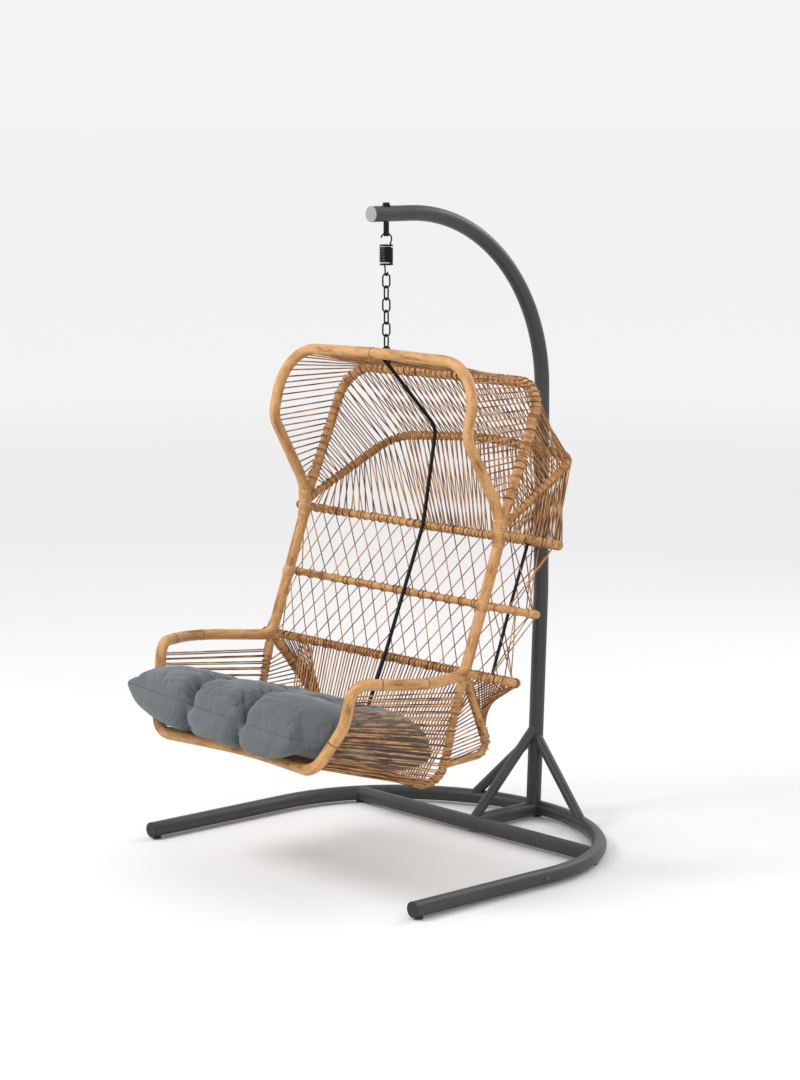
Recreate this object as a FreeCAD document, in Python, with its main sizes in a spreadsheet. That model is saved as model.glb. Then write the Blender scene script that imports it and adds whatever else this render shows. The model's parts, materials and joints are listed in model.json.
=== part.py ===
import FreeCAD, Part
import Sketcher
import math
import os

# Hanging egg chair for one sitter, on its own C-shaped tube stand.
# Frame: +Z up, the sitter faces -Y, X = 0 is the plane of symmetry, Z = 0 is the ground.
# The origin is under the middle of the whole object. All sizes are in millimetres.

V = FreeCAD.Vector
os.makedirs("parts", exist_ok=True)
doc = FreeCAD.newDocument("hanging_egg_chair")

# ---------------------------------------------------------------- driving dimensions
DIMENSIONS = {
    # stand
    "stand_tube": 48.0,
    "stand_wall": 2.0,
    "strut_tube": 32.0,
    "foot_height": 6.0,
    "foot_diameter": 26.0,
    "leg_offset": 613.0,
    "leg_front": -472.0,
    "leg_rear": 77.0,
    "leg_spigot": 60.0,
    "ring_side_radius": 540.0,
    "ring_back_radius": 652.0,
    "cross_tube_place": 345.0,
    "post_foot": 624.0,
    "post_knee_place": 652.0,
    "post_knee_height": 750.0,
    "post_top_place": 647.0,
    "post_joint_height": 530.0,
    "post_spigot_top": 705.0,
    "arm_bend_radius": 570.0,
    "arm_height": 1976.0,
    "arm_front": -81.0,
    "strut_offset": 255.0,
    "strut_top": 285.0,
    "bolt_diameter": 8.0,
    "bolt_hole": 8.8,
    "bolt_head": 14.0,
    "fit_gap": 0.15,
    "cap_flange": 3.0,
    # hanging line
    "hang_place": -21.0,
    "stem_diameter": 17.0,
    "stem_thread": 10.0,
    "hook_wire": 4.6,
    "hook_radius": 18.0,
    "hook_height": 1900.0,
    "coil_radius": 18.6,
    "coil_turns": 10.0,
    "coil_top": 1881.0,
    "coil_bottom": 1824.0,
    "link_wire": 5.0,
    "link_pitch": 36.7,
    "link_width": 29.0,
    "link_gap": 0.4,
    "chain_top": 1795.5,
    "chain_turn": -14.3,
    # chair frame
    "rim_tube": 34.0,
    "rib_tube": 24.0,
    "hood_rib_tube": 30.0,
    "rim_wall": 1.2,
    "rib_wall": 1.5,
    "hood_wall": 2.0,
    "spine_rod": 12.0,
    "side_rod": 10.0,
    # weave and cushion
    "weave_single": 4.0,
    "weave_double": 6.0,
    "weave_gap": 0.8,
    "cushion_width": 756.0,
    "cushion_length": 510.5,
    "cushion_depth": 160.0,
    "cushion_edge": 52.0,
    "cushion_cover": 7.0,
}


def write_sheet(values):
    """Store every driving dimension as one aliased cell."""
    cells = doc.addObject("Spreadsheet::Sheet", "sheet")
    for row, (name, value) in enumerate(values.items(), start=1):
        cells.set("A%d" % row, name)
        cells.set("B%d" % row, str(value))
        cells.setAlias("B%d" % row, name)
    doc.recompute()
    return cells


sheet = write_sheet(DIMENSIONS)
PARTS = []
SWEEPS = []


def size(name):
    """The value of one driving dimension, read from the sheet."""
    return float(sheet.get(name))


def keep(item, label):
    """Register a document object as one sub-part under its own label."""
    item.Label = label
    PARTS.append(item)
    return item


# ---------------------------------------------------------------- document helpers
def add(kind, name, expressions=None, placement=None):
    """Add an object, bind its sizes to the sheet and place it."""
    item = doc.addObject(kind, name)
    for prop, text in (expressions or {}).items():
        item.setExpression(prop, text)
    if placement is not None:
        item.Placement = placement
    return item


def along(origin, direction):
    """A placement that turns an object's +Z to a direction."""
    return FreeCAD.Placement(origin, FreeCAD.Rotation(V(0, 0, 1), direction))


def cylinder(name, radius, height, origin, direction=V(0, 0, 1)):
    """A bound cylinder; radius and height are expressions."""
    return add("Part::Cylinder", name, {"Radius": radius, "Height": height}, along(origin, direction))


def cut(name, base, tools):
    """Cut a row of tools from a base, one after the other."""
    for number, tool in enumerate(tools, start=1):
        step = add("Part::Cut", "%s_cut_%d" % (name, number))
        step.Base = base
        step.Tool = tool
        base = step
    return base


def fuse(name, pieces):
    """Fuse several objects into one solid."""
    item = add("Part::MultiFuse", name)
    item.Shapes = pieces
    return item


def group(name, pieces):
    """Hold separate solids in one compound."""
    item = add("Part::Compound", name)
    item.Links = pieces
    return item


def rounded(name, base, picks, radius):
    """Fillet the edges that a test picks."""
    doc.recompute()
    numbers = [n for n, edge in enumerate(base.Shape.Edges, start=1) if picks(edge)]
    item = add("Part::Fillet", name)
    item.Base = base
    item.Edges = [(n, radius, radius) for n in numbers]
    return item


def bent_path(corners):
    """Straight runs joined by tangent arcs: corners are (point, bend radius)."""
    edges = []
    start = corners[0][0]
    for before, (corner, radius), after in zip(corners, corners[1:], corners[2:]):
        towards = (before[0] - corner).normalize()
        away = (after[0] - corner).normalize()
        half_angle = towards.getAngle(away) / 2.0
        setback = radius / math.tan(half_angle)
        inward = (towards + away).normalize()
        middle = corner + inward * (radius / math.sin(half_angle) - radius)
        first = corner + towards * setback
        last = corner + away * setback
        if (first - start).Length > 0.01:
            edges.append(Part.LineSegment(start, first).toShape())
        edges.append(Part.Arc(first, middle, last).toShape())
        start = last
    end = corners[-1][0]
    if (end - start).Length > 0.01:
        edges.append(Part.LineSegment(start, end).toShape())
    return Part.Wire(edges)


def straight(start, end):
    """A path of one straight run."""
    return Part.Wire(Part.LineSegment(start, end).toShape())


def swept(name, path, radius):
    """A round bar along a path; radius is an expression."""
    first = path.OrderedEdges[0]
    begin = path.OrderedVertexes[0].Point
    direction = first.tangentAt(first.FirstParameter)
    if (first.valueAt(first.FirstParameter) - begin).Length > 0.01:
        direction = first.tangentAt(first.LastParameter) * -1
    section = add("Part::Circle", name + "_section", {"Radius": radius}, along(begin, direction))
    route = add("Part::Feature", name + "_path")
    route.Shape = path
    bar = add("Part::Sweep", name + "_bar")
    bar.Sections = [section]
    bar.Spine = (route, ["Edge%d" % n for n in range(1, len(path.Edges) + 1)])
    bar.Solid = True
    bar.Frenet = False
    SWEEPS.append((bar, section, path.Length))
    return bar


def tube(name, path, diameter, wall):
    """A hollow round tube along a path, and its solid outer shape for coping others."""
    outer = swept(name + "_outer", path, "sheet.%s / 2" % diameter)
    inner = swept(name + "_inner", path, "sheet.%s / 2 - sheet.%s" % (diameter, wall))
    return cut(name, outer, [inner]), outer


# ---------------------------------------------------------------- stand
tube_r = size("stand_tube") / 2.0
tube_z = size("foot_height") + tube_r
leg_x = size("leg_offset")
leg_rear = size("leg_rear")
cross_y = size("cross_tube_place")
bore_text = "sheet.stand_tube / 2 - sheet.stand_wall - sheet.fit_gap"


def ring_wire():
    """Half-oval of three tangent arcs, open to the front, and its rearmost point."""
    side_r = size("ring_side_radius")
    back_r = size("ring_back_radius")
    centre_x = leg_x - side_r
    lean = math.asin(centre_x / (back_r - side_r))
    swing = math.pi / 2 - lean
    back_centre = leg_rear - (back_r - side_r) * math.cos(lean)
    back = V(0, back_centre + back_r, tube_z)

    def side_point(angle, sign):
        across = centre_x + side_r * math.cos(angle)
        return V(sign * across, leg_rear + side_r * math.sin(angle), tube_z)

    left = Part.Arc(side_point(0, -1), side_point(swing / 2, -1), side_point(swing, -1))
    rear = Part.Arc(side_point(swing, -1), back, side_point(swing, 1))
    right = Part.Arc(side_point(swing, 1), side_point(swing / 2, 1), side_point(0, 1))
    return Part.Wire([left.toShape(), rear.toShape(), right.toShape()]), back


ring_path, ring_back = ring_wire()
ring, ring_outer = tube("ring", ring_path, "stand_tube", "stand_wall")
keep(ring, "base_ring")


def sketch_ring(body, plane_role, name, radii):
    """A sketch of concentric circles, their radii bound to the sheet."""
    sketch = body.newObject("Sketcher::SketchObject", name)
    plane = [f for f in body.Origin.OriginFeatures if f.Role == plane_role][0]
    sketch.AttachmentSupport = [(plane, "")]
    sketch.MapMode = "FlatFace"
    for number, text in enumerate(radii):
        circle = sketch.addGeometry(Part.Circle(V(0, 0, 0), V(0, 0, 1), 20 - 4 * number), False)
        import_centre = 3
        sketch.addConstraint(Sketcher.Constraint("Coincident", circle, import_centre, -1, 1))
        radius = sketch.addConstraint(Sketcher.Constraint("Radius", circle, 20 - 4 * number))
        sketch.setExpression("Constraints[%d]" % radius, text)
    return sketch


def pipe_body(name, radii, length, origin, direction):
    """A straight tube as a padded ring."""
    body = doc.addObject("PartDesign::Body", name)
    sketch = sketch_ring(body, "XY_Plane", name + "_section", radii)
    pad = body.newObject("PartDesign::Pad", name + "_pad")
    pad.Profile = sketch
    pad.setExpression("Length", length)
    body.Tip = pad
    body.Placement = along(origin, direction)
    return body


def cap_body(name, origin, direction, plug_length):
    """A round end cap: a flange that covers the tube's end, and a plug inside its bore."""
    body = doc.addObject("PartDesign::Body", name)
    plug = sketch_ring(body, "XY_Plane", name + "_plug", [bore_text])
    pad = body.newObject("PartDesign::Pad", name + "_plug_pad")
    pad.Profile = plug
    pad.Length = plug_length
    pad.Reversed = True
    flange = sketch_ring(body, "XY_Plane", name + "_flange", ["sheet.stand_tube / 2"])
    disc = body.newObject("PartDesign::Pad", name + "_flange_pad")
    disc.Profile = flange
    disc.setExpression("Length", "sheet.cap_flange")
    doc.recompute()
    top = size("cap_flange")
    edges = []
    for number, edge in enumerate(disc.Shape.Edges, start=1):
        on_top = abs(edge.BoundBox.ZMin - top) < 1e-6 and edge.Length > math.pi * tube_r
        if on_top:
            edges.append("Edge%d" % number)
    round_over = body.newObject("PartDesign::Fillet", name + "_round")
    round_over.Base = (disc, edges)
    round_over.Radius = 1.2
    body.Tip = round_over
    body.Placement = along(origin, direction)
    return body


def build_legs():
    """Front legs on spigots, their side screws and end caps."""
    shank = size("bolt_diameter") / 2
    screws = []
    outers = []
    spigot_r = "sheet.stand_tube / 2 - sheet.stand_wall - sheet.fit_gap"
    for side, sign in (("left", -1), ("right", 1)):
        outward = V(sign, 0, 0)
        front = V(sign * leg_x, size("leg_front"), tube_z)
        rear = V(sign * leg_x, leg_rear, tube_z)
        leg = pipe_body("leg_tube_" + side, ["sheet.stand_tube / 2", "sheet.stand_tube / 2 - sheet.stand_wall"],
                        "sheet.leg_rear - sheet.leg_front", front, V(0, 1, 0))
        spigot = pipe_body("leg_inner_" + side, [spigot_r, spigot_r + " - sheet.stand_wall"],
                           "2 * sheet.leg_spigot", rear - V(0, size("leg_spigot"), 0), V(0, 1, 0))
        screw_y = leg_rear - 32
        start = V(sign * (leg_x + tube_r - 13), screw_y, tube_z)
        hole = cylinder("leg_hole_" + side, "sheet.bolt_hole / 2", "40", start, outward)
        keep(cut("leg_" + side, leg, [hole]), "leg_" + side)
        keep(cut("leg_spigot_" + side, spigot, [hole]), "leg_spigot_" + side)
        outer = cylinder("leg_outer_" + side, "sheet.stand_tube / 2", "sheet.leg_rear - sheet.leg_front",
                         front, V(0, 1, 0))
        outers.append(outer)
        rod = cylinder("leg_screw_rod_" + side, "sheet.bolt_diameter / 2", "15", start, outward)
        head = cylinder("leg_screw_head_" + side, "sheet.bolt_head / 2", "4.6",
                        V(sign * (leg_x + tube_r - 1.6), screw_y, tube_z), outward)
        dome = rounded("leg_screw_dome_" + side, head,
                       lambda e: e.Closed and abs(e.CenterOfMass.x) > leg_x + tube_r + 2, 1.8)
        seated = cut("leg_screw_seat_" + side, dome, [outer])
        screws.append(fuse("leg_screw_" + side, [seated, rod]))
        keep(cap_body("leg_cap_" + side, front, V(0, -1, 0), 18.0), "leg_end_cap_" + side)
    keep(group("leg_screw_pair", screws), "leg_screws")
    return outers


leg_outers = build_legs()


def arc_point(offset):
    """The ring's centre line behind the cross tube, at a distance from the middle."""
    back_r = size("ring_back_radius")
    return V(offset, ring_back.y - back_r + math.sqrt(back_r ** 2 - offset ** 2), tube_z)


post_foot = V(0, size("post_foot"), tube_z)
post_knee = V(0, size("post_knee_place"), size("post_knee_height"))
post_lean = (post_knee.y - post_foot.y) / (post_knee.z - tube_z)
arm_end = V(0, size("arm_front"), size("arm_height"))
arm_corner = V(0, size("post_top_place"), size("arm_height"))


def on_post(height):
    """The centre of the post's leaning lower half at a height."""
    return post_foot + V(0, post_lean * (height - tube_z), height - tube_z)


def build_base_tubes():
    """Cross tube, lower post and centre tube, each coped to what it is welded to."""
    side_r = size("ring_side_radius")
    cross_x = leg_x - side_r + math.sqrt(side_r ** 2 - (cross_y - leg_rear) ** 2)
    cross_path = straight(V(-cross_x, cross_y, tube_z), V(cross_x, cross_y, tube_z))
    cross, cross_outer = tube("cross", cross_path, "stand_tube", "stand_wall")
    keep(cut("cross_coped", cross, [ring_outer]), "base_cross_tube")
    lower_path = straight(post_foot, on_post(size("post_joint_height")))
    lower, lower_outer = tube("lower_post", lower_path, "stand_tube", "stand_wall")
    keep(cut("lower_post_coped", lower, [ring_outer]), "post_lower")
    centre_path = straight(V(0, cross_y, tube_z), V(0, ring_back.y, tube_z))
    centre, centre_outer = tube("centre", centre_path, "stand_tube", "stand_wall")
    keep(cut("centre_coped", centre, [cross_outer, ring_outer, lower_outer]), "base_centre_tube")
    return cross_outer, lower_outer, centre_outer


cross_outer, lower_outer, centre_outer = build_base_tubes()


def build_post():
    """Upper post that bends over into the arm, the spigot in its foot, bolts and cap."""
    joint = on_post(size("post_joint_height"))
    corners = [(joint, 0), (post_knee, 1200), (arm_corner, size("arm_bend_radius")), (arm_end, 0)]
    upper, upper_outer = tube("upper_post", bent_path(corners), "stand_tube", "stand_wall")
    spigot_low = on_post(size("post_joint_height") - 60)
    spigot_length = on_post(size("post_spigot_top")) - spigot_low
    spigot = pipe_body("post_inner", [bore_text, bore_text + " - sheet.stand_wall"], "%.3f" % spigot_length.Length,
                       spigot_low, spigot_length)
    holes = []
    bolts = []
    reach = tube_r + 1.0
    for name, height in (("low", 578.0), ("high", 672.0)):
        centre = on_post(height)
        holes.append(cylinder("post_hole_" + name, "sheet.bolt_hole / 2", "90", centre - V(0, 45, 0), V(0, 1, 0)))
        rod = cylinder("post_bolt_rod_" + name, "sheet.bolt_diameter / 2", "%.1f" % (2 * reach + 4),
                       centre - V(0, reach + 2, 0), V(0, 1, 0))
        head = cylinder("post_bolt_head_" + name, "sheet.bolt_head / 2", "6", centre - V(0, reach + 3, 0), V(0, 1, 0))
        nut = cylinder("post_bolt_nut_" + name, "sheet.bolt_head / 2", "6", centre + V(0, reach - 3, 0), V(0, 1, 0))
        dome = rounded("post_bolt_dome_" + name, head,
                       lambda e: e.Closed and e.CenterOfMass.y < centre.y - reach, 1.8)
        pieces = [cut("post_bolt_seat_" + name, dome, [upper_outer]), rod,
                  cut("post_nut_seat_" + name, nut, [upper_outer])]
        bolts.append(fuse("post_bolt_" + name, pieces))
    stem_hole = cylinder("stem_hole", "sheet.stem_thread / 2 + 0.2", "80",
                         V(0, size("hang_place"), size("arm_height") - 40))
    keep(cut("post_spigot", spigot, holes), "post_spigot")
    keep(cut("upper_post_drilled", upper, holes + [stem_hole]), "post_upper_arm")
    keep(group("post_bolt_pair", bolts), "post_bolts")
    keep(cap_body("arm_cap", arm_end, V(0, -1, 0), 16.0), "arm_end_cap")
    return upper_outer


upper_outer = build_post()


def build_struts():
    """Three struts that brace the post from the cross tube and the ring."""
    feet = {
        "front": (V(0, cross_y, tube_z), 22.0),
        "left": (arc_point(-size("strut_offset")), -8.0),
        "right": (arc_point(size("strut_offset")), -8.0),
    }
    made = []
    for side, (foot, lift) in feet.items():
        top = on_post(size("strut_top") + lift)
        strut, outer = tube("strut_" + side, straight(foot, top), "strut_tube", "stand_wall")
        cutters = [ring_outer, cross_outer, centre_outer, lower_outer] + made
        keep(cut("strut_coped_" + side, strut, cutters), "strut_" + side)
        made.append(outer)


build_struts()


def build_feet():
    """Rubber glides under the legs, the cross tube's ends and the ring's back."""
    places = {
        "front_left": (V(-leg_x, size("leg_front") + 22, 0), leg_outers[0]),
        "front_right": (V(leg_x, size("leg_front") + 22, 0), leg_outers[1]),
        "side_left": (V(-539, cross_y, 0), ring_outer),
        "side_right": (V(539, cross_y, 0), ring_outer),
        "rear": (ring_back - V(0, 0, tube_z), ring_outer),
    }
    beside = {"side_left": [cross_outer], "side_right": [cross_outer], "rear": [centre_outer, lower_outer]}
    feet = []
    for name, (place, tube_above) in places.items():
        disc = cylinder("foot_disc_" + name, "sheet.foot_diameter / 2", "sheet.foot_height + 9", place)
        cutters = [tube_above] + beside.get(name, [])
        feet.append(cut("foot_" + name, disc, cutters))
    keep(group("feet_group", feet), "feet")


build_feet()

# ---------------------------------------------------------------- hanging line
hang = V(0, size("hang_place"), 0)
hook_wire_r = size("hook_wire") / 2.0
link_wire_r = size("link_wire") / 2.0
arm_bottom = size("arm_height") - tube_r
arm_top = size("arm_height") + tube_r


def level_of(turn):
    """The level direction of an upright plane turned about the hanging line."""
    angle = math.radians(turn)
    return V(-math.sin(angle), math.cos(angle), 0)


broad = level_of(size("chain_turn"))
narrow = level_of(size("chain_turn") - 90)


def upright(level, across, height):
    """A point across from the hanging line along a level direction."""
    return hang + level * across + V(0, 0, height)


def wire_piece(name, points, text="sheet.hook_wire / 2"):
    """A swept wire through tangent arcs and runs, given as a list of edges."""
    return swept(name, Part.Wire([shape.toShape() for shape in points]), text)


def build_stem():
    """Hanger: a threaded shank through the arm with its nut, and a thick stem with a cross hole."""
    eye_z = size("hook_height") + size("hook_radius")
    low = eye_z - 9.5
    thick = cylinder("stem_thick", "sheet.stem_diameter / 2", "%.2f" % (arm_bottom - 0.4 - low), hang + V(0, 0, low))
    shank = cylinder("stem_shank", "sheet.stem_thread / 2", "%.2f" % (arm_top + 9.0 - arm_bottom + 4),
                     hang + V(0, 0, arm_bottom - 4))
    eye = cylinder("stem_eye", "sheet.hook_wire / 2 + 2.8", "40", upright(broad, -20, eye_z), broad)
    keep(cut("stem", fuse("stem_solid", [thick, shank]), [eye]), "hanger_stem")
    prism = add("Part::Prism", "nut_prism", {"Height": "7"}, along(hang + V(0, 0, arm_top + 2.6), V(0, 0, 1)))
    prism.Polygon = 6
    prism.Circumradius = 10.5
    washer = cylinder("nut_washer", "13", "2.4", hang + V(0, 0, arm_top + 0.3))
    bore = cylinder("nut_bore", "sheet.stem_thread / 2 + 0.02", "30", hang + V(0, 0, arm_top - 10))
    keep(cut("hanger_nut_bored", fuse("hanger_nut_solid", [prism, washer]), [bore]), "hanger_nut")


build_stem()


def build_spring():
    """Close-wound spring between an open hook above and a narrow hook below."""
    top = size("coil_top")
    bottom = size("coil_bottom")
    coil_r = size("coil_radius")
    gap = size("hook_wire")
    ring_text = {"Radius1": "sheet.coil_radius", "Radius2": "sheet.hook_wire / 2"}
    height = top - bottom - 2 * gap - 0.4
    helix = add("Part::Helix", "coil_path", {"Radius": "sheet.coil_radius", "Pitch": "%.4f / sheet.coil_turns" % height})
    helix.Height = height
    section = add("Part::Circle", "coil_section", {"Radius": "sheet.hook_wire / 2 - 0.05"},
                  along(V(coil_r, 0, 0), V(0, 1, 0)))
    coil = add("Part::Sweep", "coil")
    doc.recompute()
    coil.Sections = [section]
    coil.Spine = (helix, ["Edge%d" % n for n in range(1, len(helix.Shape.Edges) + 1)])
    coil.Solid = True
    coil.Frenet = True
    coil.Placement = along(hang + V(0, 0, bottom + gap + 0.2), V(0, 0, 1))
    keep(coil, "spring_coils")

    def on_hook(degrees):
        turn = math.radians(degrees)
        reach = size("hook_radius")
        return upright(broad, reach * math.cos(turn), size("hook_height") + reach * math.sin(turn))

    crown = Part.Arc(on_hook(168), on_hook(60), on_hook(-40))
    lead = Part.LineSegment(on_hook(-40), upright(broad, coil_r - 1.5, top))
    top_ring = add("Part::Torus", "top_ring", ring_text, along(hang + V(0, 0, top), V(0, 0, 1)))
    ball = add("Part::Sphere", "hook_ball", {"Radius": "sheet.hook_wire / 2"}, along(on_hook(-40), V(0, 0, 1)))
    upper = [wire_piece("hook_crown", [crown]), wire_piece("hook_lead", [lead]), ball, top_ring]
    keep(fuse("upper_hook", upper), "spring_upper_hook")

    reach = 7.6
    bend_z = size("chain_top") - link_wire_r - size("link_gap") - hook_wire_r + reach
    knee = upright(narrow, -reach, bottom - 8)
    bend = Part.Arc(upright(narrow, reach, bend_z), upright(narrow, 0, bend_z - reach), upright(narrow, -reach, bend_z))
    tip = Part.LineSegment(upright(narrow, reach, bend_z + 4), upright(narrow, reach, bend_z))
    shank = Part.LineSegment(upright(narrow, -reach, bend_z), knee)
    lead = Part.LineSegment(knee, upright(narrow, 0.5 - coil_r, bottom))
    low_ring = add("Part::Torus", "low_ring", ring_text, along(hang + V(0, 0, bottom), V(0, 0, 1)))
    ball = add("Part::Sphere", "knee_ball", {"Radius": "sheet.hook_wire / 2"}, along(knee, V(0, 0, 1)))
    lower = [wire_piece("low_bend", [tip, bend, shank]), wire_piece("low_lead", [lead]), ball, low_ring]
    keep(fuse("lower_hook", lower), "spring_lower_hook")


build_spring()
link_half = (size("link_pitch") + size("link_wire") + size("link_gap")) / 2.0
link_bend = (size("link_width") - size("link_wire")) / 2.0
LINKS = 6


def build_chain():
    """Six oval links, each turned a quarter turn from the one above."""
    rise = link_half - link_bend
    for number in range(1, LINKS + 1):
        level = broad if number % 2 else narrow
        centre = size("chain_top") - link_half - (number - 1) * size("link_pitch")
        corner = [upright(level, x * link_bend, centre + z * rise) for x, z in ((1, -1), (1, 1), (-1, 1), (-1, -1))]
        top = upright(level, 0, centre + link_half)
        low = upright(level, 0, centre - link_half)
        edges = [Part.LineSegment(corner[0], corner[1]), Part.Arc(corner[1], top, corner[2]),
                 Part.LineSegment(corner[2], corner[3]), Part.Arc(corner[3], low, corner[0])]
        keep(wire_piece("link_%d" % number, edges, "sheet.link_wire / 2"), "chain_link_%d" % number)


build_chain()

# ---------------------------------------------------------------- chair frame: corner points
rib_r = size("rib_tube") / 2.0
hood_rib_r = size("hood_rib_tube") / 2.0
rim_r = size("rim_tube") / 2.0
spine_r = size("spine_rod") / 2.0
side_rod_r = size("side_rod") / 2.0

CROWN = V(0, -48, 1556)
HOOD_TOP = (V(437, -52, 1549), 150)
HOOD_FRONT = (V(440, -102, 1335), 80)
PINCH = (V(444, 48, 1073), 185)
ELBOW = (V(443, -113, 638), 38)
ARM_BULGE = (V(542, -358, 656), 230)
ARM_NOSE = (V(446, -550, 669), 52)
STILE_KNEE = (V(430, -572, 545), 120)
FRONT_CORNER = (V(366, -630, 412), 75)
FRONT_MIDDLE = V(0, -572, 407)


def between(first, last, share):
    """The point a share of the way from one point to another."""
    return first + (last - first) * share


ARM_SEAM = between(ARM_BULGE[0], ARM_NOSE[0], 0.62)
STILE_SEAM = between(STILE_KNEE[0], FRONT_CORNER[0], 0.36)

HOOD_RIB = [(V(443.5, 27, 1042), 0), (V(440, 214, 1476), 110)]
HOOD_RIB_TOP = V(0, 236, 1476)
REAR_RIB = [(V(443, 28, 1055), 0), (V(410, 386, 1240), 90)]
REAR_RIB_TOP = V(0, 402, 1268)
NECK_RIB = [(V(444, 29, 1047), 0), (V(612, 148, 1012), 15)]
NECK_BACK = V(0, 149.5, 1010)
WAIST_RIB = [(V(443, -39, 838), 0), (V(592, 74, 811), 15)]
WAIST_BACK = V(0, 76, 809)
SEAT_RIB = [(V(444, -113, 642), 0), (V(602, -13, 617), 15)]
SEAT_BACK = V(0, -11.5, 615)
SIDE_RIB = [(V(444, -115, 640), 0), (V(436, -158, 480), 140), (V(404, -173, 298), 112)]
SEAT_BEAM = V(0, -173, 297)
BRACE = [(V(445, -110, 640), 0), (V(374, 60, 368), 34), (V(407, -170, 368), 0)]
LUMBAR = (("neck_rib", NECK_RIB, NECK_BACK), ("waist_rib", WAIST_RIB, WAIST_BACK),
          ("seat_back_rib", SEAT_RIB, SEAT_BACK))


def mirrored(point):
    """The same point on the other side of the plane of symmetry."""
    return V(-point.x, point.y, point.z)


def side_of(corners, sign):
    """The corners of the right side, or their mirror image."""
    return [(point if sign > 0 else mirrored(point), radius) for point, radius in corners]


def across(half, middle, bow):
    """A symmetric path from the left end, through a middle point, to the right end."""
    return bent_path(side_of(half, -1) + [(middle, bow)] + side_of(half, 1)[::-1])


def frame_tube(name, path, kind, cutters=()):
    """One wrapped frame tube, coped to its neighbours; its kind sets diameter and wall."""
    diameter, wall = {"rim": ("rim_tube", "rim_wall"), "rib": ("rib_tube", "rib_wall"),
                      "hood": ("hood_rib_tube", "hood_wall"), "hood_rear": ("rib_tube", "hood_wall")}[kind]
    body, outer = tube(name, path, diameter, wall)
    keep(cut(name + "_coped", body, cutters), name)
    return outer


rim_half = [(ARM_SEAM, 0), ARM_BULGE, ELBOW, PINCH, HOOD_FRONT, HOOD_TOP]
rim_outer = frame_tube("hood_and_side_rim", across(rim_half, CROWN, 3000), "rim")
front_half = [(STILE_SEAM, 0), FRONT_CORNER]
front_outer = frame_tube("front_rail", across(front_half, FRONT_MIDDLE, 900), "rim")
for side, sign in (("left", -1), ("right", 1)):
    stile = [(ARM_SEAM, 0), ARM_NOSE, STILE_KNEE, (STILE_SEAM, 0)]
    frame_tube("arm_loop_" + side, bent_path(side_of(stile, sign)), "rim")

hood_outer = frame_tube("hood_middle_rib", across(HOOD_RIB, HOOD_RIB_TOP, 2600), "hood", [rim_outer])
rear_outer = frame_tube("hood_rear_rib", across(REAR_RIB, REAR_RIB_TOP, 1500), "hood_rear",
                        [rim_outer, hood_outer])
lumbar_outers = []
for name, half, middle in LUMBAR:
    cutters = [rim_outer, hood_outer, rear_outer] if name == "neck_rib" else [rim_outer]
    lumbar_outers.append(frame_tube(name, across(half, middle, 6000), "rib", cutters))
side_rib_outer = frame_tube("seat_side_rib", across(SIDE_RIB, SEAT_BEAM, 6000), "rib",
                            [rim_outer, lumbar_outers[2]])
for side, sign in (("left", -1), ("right", 1)):
    frame_tube("seat_brace_" + side, bent_path(side_of(BRACE, sign)), "rib",
               [rim_outer, lumbar_outers[2], side_rib_outer])


def build_rods():
    """Bare steel rods: the centre spine with its hanging eye, and one in each side of the back."""
    stand_off = rib_r + spine_r + 0.3
    recline = (NECK_BACK - SEAT_BACK).normalize()
    forward = V(0, -recline.z, recline.y)
    spine_corners = [
        (V(0, -36, 1543), 0),
        (V(0, 186, 1314), 60),
        (NECK_BACK + forward * stand_off, 300),
        (SEAT_BACK + forward * stand_off, 200),
        (SEAT_BEAM + V(0, -4, 0), 0),
    ]
    spine = swept("spine", bent_path(spine_corners), "sheet.spine_rod / 2")
    keep(cut("spine_coped", spine, [rim_outer, side_rib_outer]), "centre_spine")
    eye_top = size("chain_top") - LINKS * size("link_pitch")
    bend = eye_top - link_bend
    front_foot = upright(broad, -link_bend, 1561)
    rear_foot = upright(broad, link_bend, 1513)
    arch = [Part.LineSegment(front_foot, upright(broad, -link_bend, bend)),
            Part.Arc(upright(broad, -link_bend, bend), upright(broad, 0, eye_top), upright(broad, link_bend, bend)),
            Part.LineSegment(upright(broad, link_bend, bend), rear_foot)]
    eye = wire_piece("eye", arch, "sheet.link_wire / 2")
    keep(cut("eye_coped", eye, [rim_outer, spine]), "chair_eye")
    for side, sign in (("left", -1), ("right", 1)):
        points = []
        for name, half, middle in LUMBAR:
            joint = half[0][0]
            run = (half[1][0] - joint).normalize()
            inside = V(-run.y, run.x, 0).normalize()
            points.append(between(joint, half[1][0], 0.42) + inside * (rib_r + side_rod_r + 0.3))
        top = points[0] + (points[0] - points[1]).normalize() * 9
        end = points[2] + (points[2] - points[1]).normalize() * 9
        corners = side_of([(top, 0), (points[1], 400), (end, 0)], sign)
        rod = swept("side_rod_" + side, bent_path(corners), "sheet.side_rod / 2")
        keep(cut("side_rod_coped_" + side, rod, lumbar_outers), "back_rod_" + side)
    return spine, eye


spine_solid, eye_solid = build_rods()


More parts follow.
